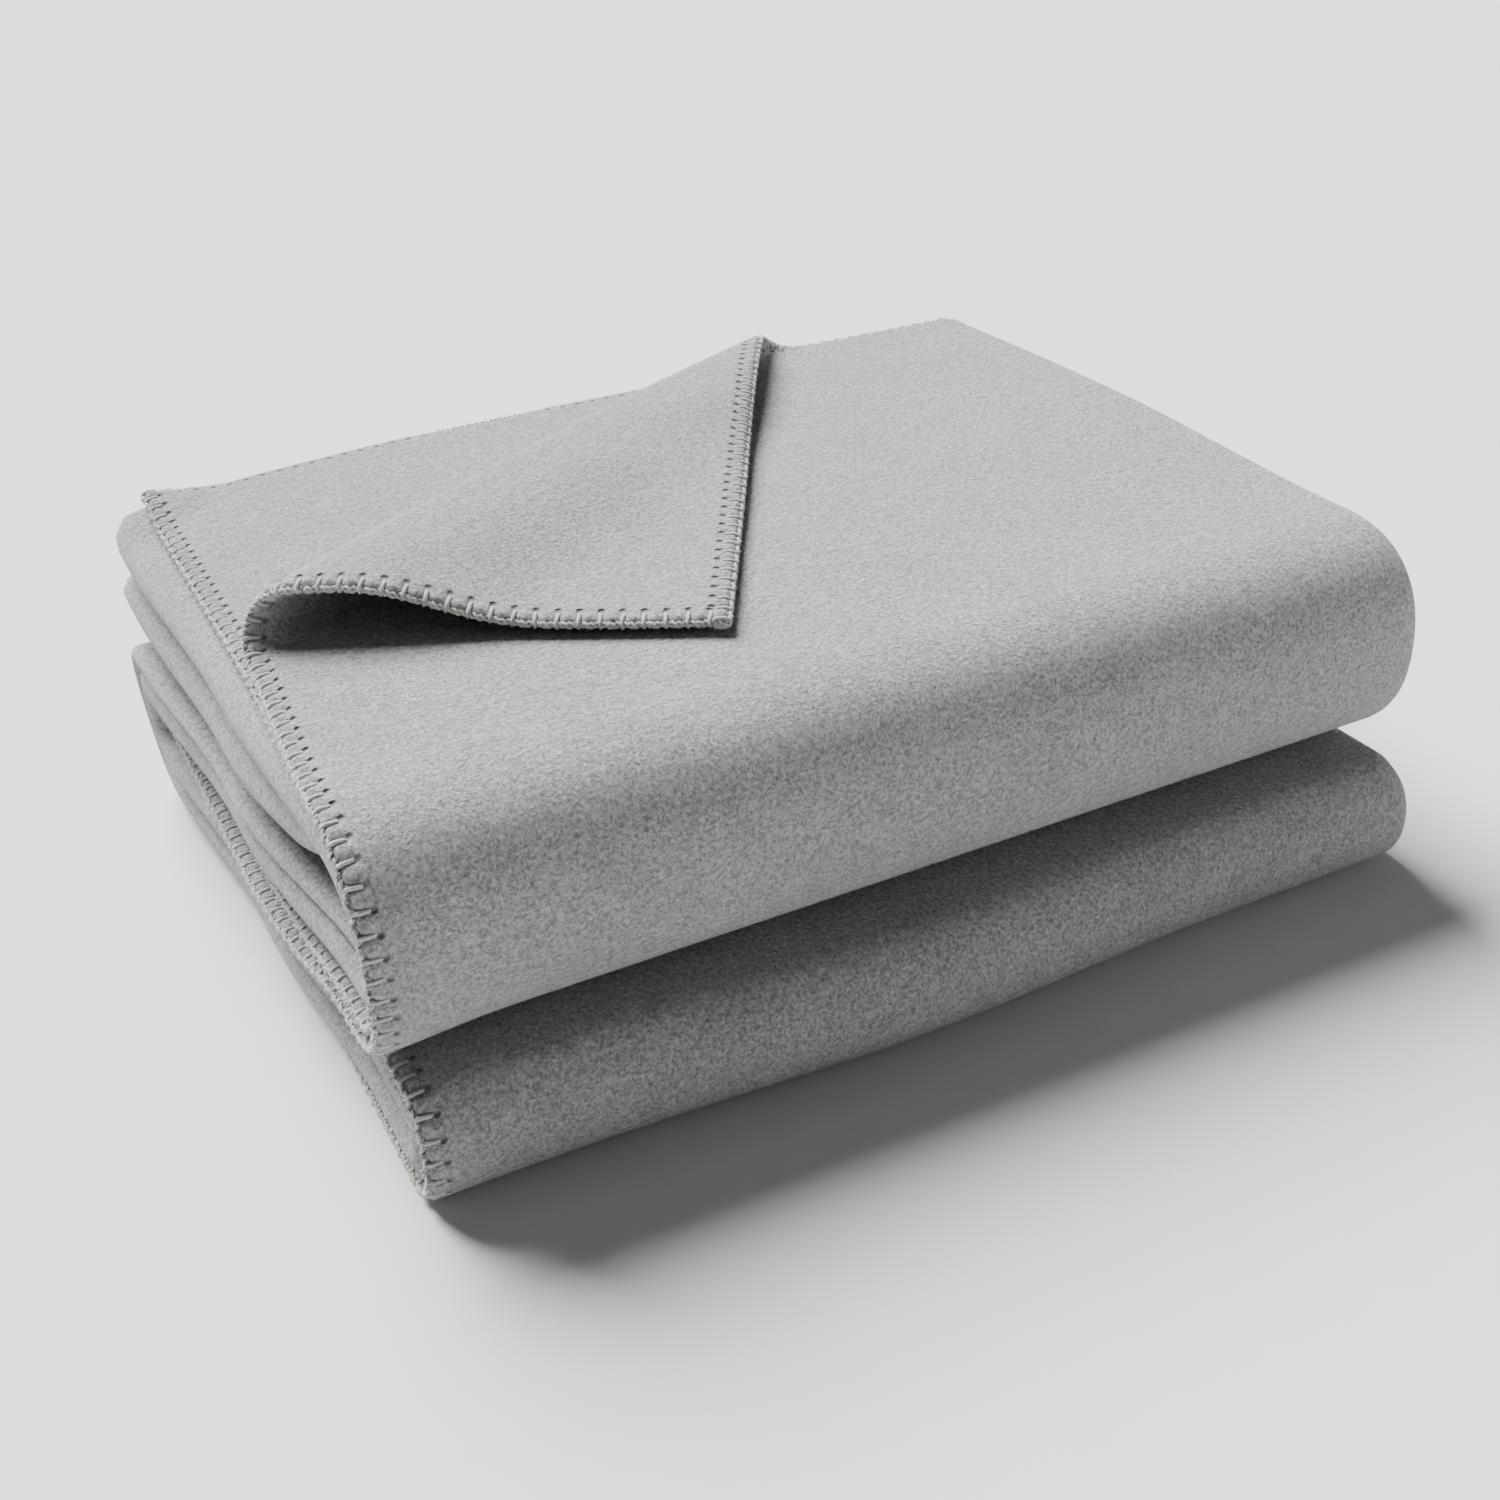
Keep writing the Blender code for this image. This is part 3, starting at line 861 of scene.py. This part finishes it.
# ---------------------------------------------------------------- the blanket
def build_blanket():
    fleece, yarn = fleece_material(), yarn_material()
    strip = Strip()
    parts = leaf_pieces()
    joined = len(FREE) - 1
    cloth = {name: strip.piece(name) for name in ("outer", "low", "floor", "inner", "second")}
    cloth["top"] = strip.piece("top", joined)
    cloth.update(parts)
    pieces = {name: add_piece("cloth_" + name, mesh, fleece) for name, mesh in cloth.items()}
    leg = bpy.data.objects.new("stitch_leg", stitch_mesh())
    tree = stitching_nodes(leg, yarn)
    last = len(strip.grid) - 1
    edges = {
        "top": [strip.edge("top", "second"), strip.end_edge(0, joined),
                leaf_edge("side", -99, 0), leaf_edge("end", -99, 0),
                strip.edge("second", "first"), strip.edge("second", "second"),
                strip.end_edge(last)],
        "outer": [strip.edge("outer", "first"), strip.edge("outer", "second")],
        "inner": [strip.edge("inner", "first"), strip.edge("inner", "second")],
        "stack": [strip.edge(part, which) for part in ("low", "floor")
                  for which in ("first", "second")],
        "roll": [leaf_edge("side", 0, 1), leaf_edge("end", 0, 1)],
        "corner": [leaf_edge("side", 1, 99), leaf_edge("end", 1, 99)],
    }
    yarns = {name: edging("yarn_" + name, lines, tree, yarn) for name, lines in edges.items()}
    bpy.data.objects.remove(leg)
    return strip, pieces, yarns


def tie_to_bodies(pieces, yarns):
    for name in ("leaf", "top", "second"):
        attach(pieces[name], "top_third")
    for name in ("low", "floor"):
        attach(pieces[name], "lower_stack")
    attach(pieces["corner"], "corner_flap")
    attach(yarns["top"], "top_third")
    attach(yarns["stack"], "lower_stack")
    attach(yarns["corner"], "corner_flap")
    for kind, (low, high) in (("outer", OUTER_BENDS), ("inner", INNER_BENDS)):
        for piece in (pieces[kind], yarns[kind]):
            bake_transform(piece)
    for piece in (pieces["roll"], yarns["roll"]):
        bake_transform(piece)


STANDS_FOR = {
    "leaf": ("top_run",),
    "second": ("second_run",),
    "outer": ("upper_front_fold_outer",),
    "inner": ("upper_front_fold_inner",),
    "low": ("third_run", "fourth_run", "fifth_run", "back_fold_inner"),
    "floor": ("sixth_run", "back_fold_outer", "lower_front_fold"),
    "roll": ("corner_roll",),
    "corner": ("turned_corner",),
}
YARN_STANDS_FOR = {
    "top": ("edging_top_left", "edging_upper_end", "edging_lower_end"),
    "stack": ("edging_outer", "edging_inner"),
    "outer": ("edging_front_fold_1", "edging_front_fold_2"),
    "inner": ("edging_front_fold_3", "edging_front_fold_4"),
    "roll": ("edging_roll_left", "edging_roll_back"),
    "corner": ("edging_corner",),
}


# ---------------------------------------------------------------- floor, light, camera
def floor_plane():
    work = bmesh.new()
    bmesh.ops.create_grid(work, x_segments=1, y_segments=1, size=40.0)
    mesh = bpy.data.meshes.new("floor_plane")
    work.to_mesh(mesh)
    work.free()
    material, nodes, links, shader = new_material("pale floor")
    where = nodes.new("ShaderNodeTexCoord").outputs["Object"]
    grain = noise_at(nodes, links, where, 60, 2.0, 0.5)
    colour = ramp_of(nodes, links, grain, 0.2, 0.8, (0.66, 0.66, 0.66), (0.68, 0.68, 0.68))
    links.new(colour, shader.inputs["Base Color"])
    shader.inputs["Roughness"].default_value = 0.9
    shader.inputs["Specular IOR Level"].default_value = 0.1
    floor = add_piece("floor_plane", mesh, material)
    return floor


def area_light(name, at, towards, size, power):
    light = bpy.data.lights.new(name, "AREA")
    light.shape = "RECTANGLE"
    light.size, light.size_y = size
    light.energy = power
    lamp = bpy.data.objects.new(name, light)
    lamp.location = at
    lamp.rotation_euler = (Vector(towards) - Vector(at)).to_track_quat("-Z", "Y").to_euler()
    bpy.context.scene.collection.objects.link(lamp)
    return lamp


def studio():
    world = bpy.data.worlds.new("studio")
    bpy.context.scene.world = world
    world.use_nodes = True
    world.node_tree.nodes["Background"].inputs[0].default_value = (1, 1, 1, 1)
    world.node_tree.nodes["Background"].inputs[1].default_value = 0.10
    sun = bpy.data.lights.new("skylight", "SUN")
    sun.energy, sun.angle = 14.0, math.radians(38)
    lamp = bpy.data.objects.new("skylight", sun)
    lamp.rotation_euler = Vector((0.16, -0.88, -0.92)).to_track_quat("-Z", "Y").to_euler()
    bpy.context.scene.collection.objects.link(lamp)
    area_light("fill", (1.6, -0.95, 0.28), (0.1, 0, 0.03), (0.9, 0.7), 11)


def camera():
    data = bpy.data.cameras.new("camera")
    data.lens, data.sensor_width = 45.0, 36.0
    camera = bpy.data.objects.new("camera", data)
    bpy.context.scene.collection.objects.link(camera)
    pitch, yaw, roll = 0.5170, 0.4345, -0.0632
    ahead = Vector((math.sin(yaw) * math.cos(pitch), math.cos(yaw) * math.cos(pitch),
                    -math.sin(pitch)))
    level = Vector((math.cos(yaw), -math.sin(yaw), 0))
    above = level.cross(ahead)
    right = math.cos(roll) * level + math.sin(roll) * above
    up = -math.sin(roll) * level + math.cos(roll) * above
    pose = Matrix((right, up, -ahead)).transposed().to_4x4()
    pose.translation = Vector((-0.25996, -0.55749, 0.37615))
    camera.matrix_world = pose
    bpy.context.scene.camera = camera


strip, pieces, yarns = build_blanket()
tie_to_bodies(pieces, yarns)
for key, nodes in STANDS_FOR.items():
    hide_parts(*nodes)
for key, nodes in YARN_STANDS_FOR.items():
    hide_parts(*nodes)
floor = floor_plane()
studio()
camera()
